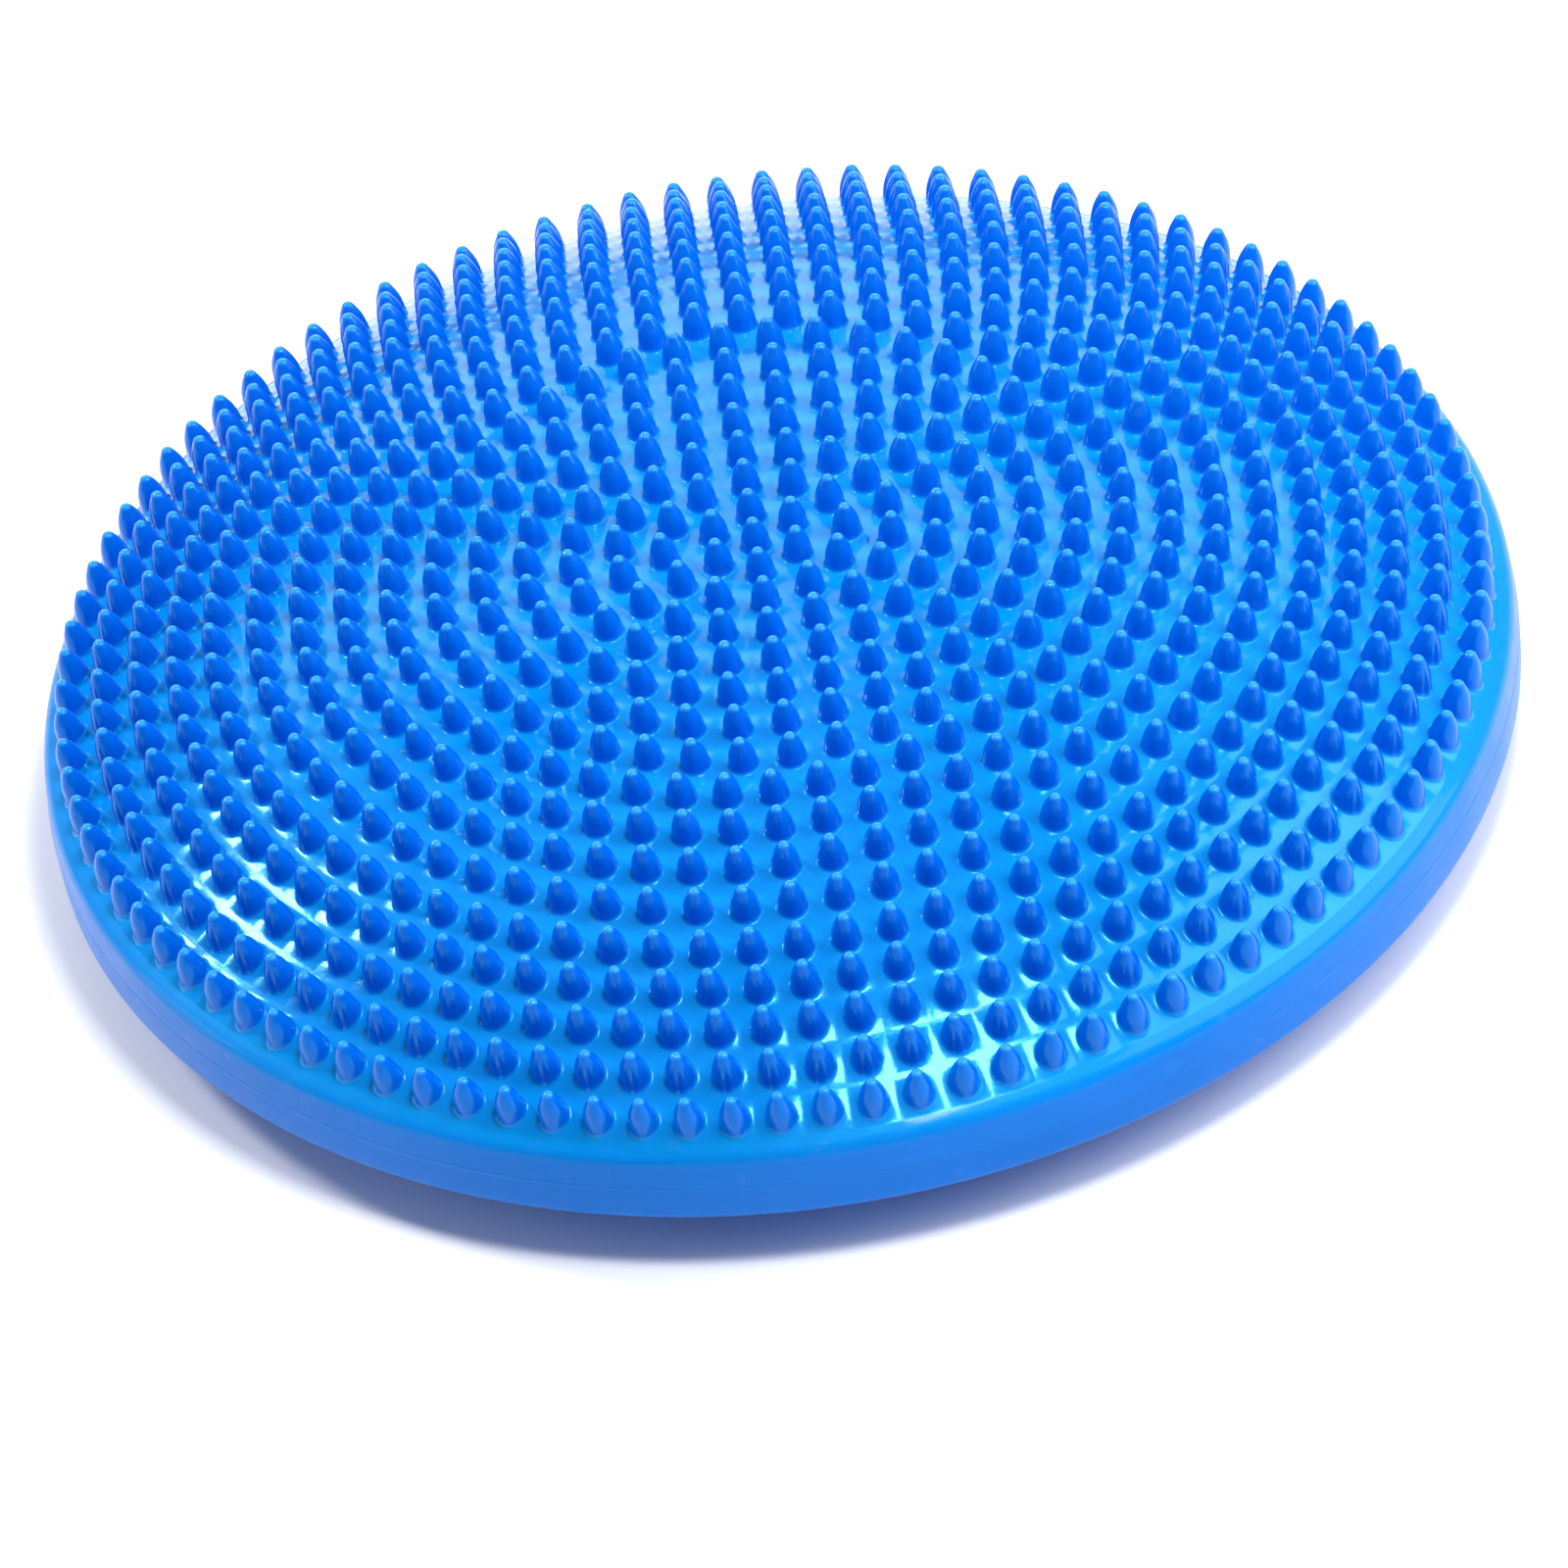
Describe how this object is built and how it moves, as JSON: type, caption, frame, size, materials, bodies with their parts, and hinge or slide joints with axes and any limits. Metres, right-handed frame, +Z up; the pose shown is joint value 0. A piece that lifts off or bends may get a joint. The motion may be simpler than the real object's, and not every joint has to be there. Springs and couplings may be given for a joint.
{
  "type": "inflatable wobble cushion",
  "caption": "Inflated balance disc of soft moulded plastic with a nubbed domed top, a plain dished underside and a needle valve in its side wall.",
  "frame": {"origin": "on the floor under the middle of the underside, which is the bottom centre of the bounding box", "axes": "+Z up through the middle of the disc, +Y towards the valve, +X to the right when the valve is at the back"},
  "size_m": [0.33, 0.33, 0.075],
  "materials": {
    "nubbed_pvc": "glossy soft PVC, bright blue",
    "wall_pvc": "glossy soft PVC, blue",
    "boss_pvc": "satin PVC, blue",
    "valve_rubber": "matt black rubber"
  },
  "bodies": {
    "base": {"underside": "wall_pvc"},
    "lower_wall": {"lower_side_wall": "wall_pvc", "valve_boss": "boss_pvc", "needle_valve": "valve_rubber"},
    "upper_wall": {"upper_side_wall": "wall_pvc"},
    "top": {"upper_face": "nubbed_pvc"}
  },
  "joints": [
    {"name": "tilt_fore_aft", "type": "hinge", "parent": "base", "child": "lower_wall", "pos_m": [0, 0, 0.024], "axis": [1, 0, 0], "range_deg": [-5, 5], "stiffness_Nm_per_rad": 40, "deforming": ["lower_side_wall"]},
    {"name": "press_down", "type": "slide", "parent": "lower_wall", "child": "upper_wall", "axis": [0, 0, -1], "range_m": [0, 0.006], "stiffness_N_per_m": 8000, "springref_m": -0.002, "deforming": ["upper_side_wall"]},
    {"name": "tilt_sideways", "type": "hinge", "parent": "upper_wall", "child": "top", "pos_m": [0, 0, 0.024], "axis": [0, 1, 0], "range_deg": [-5, 5], "stiffness_Nm_per_rad": 40}
  ]
}
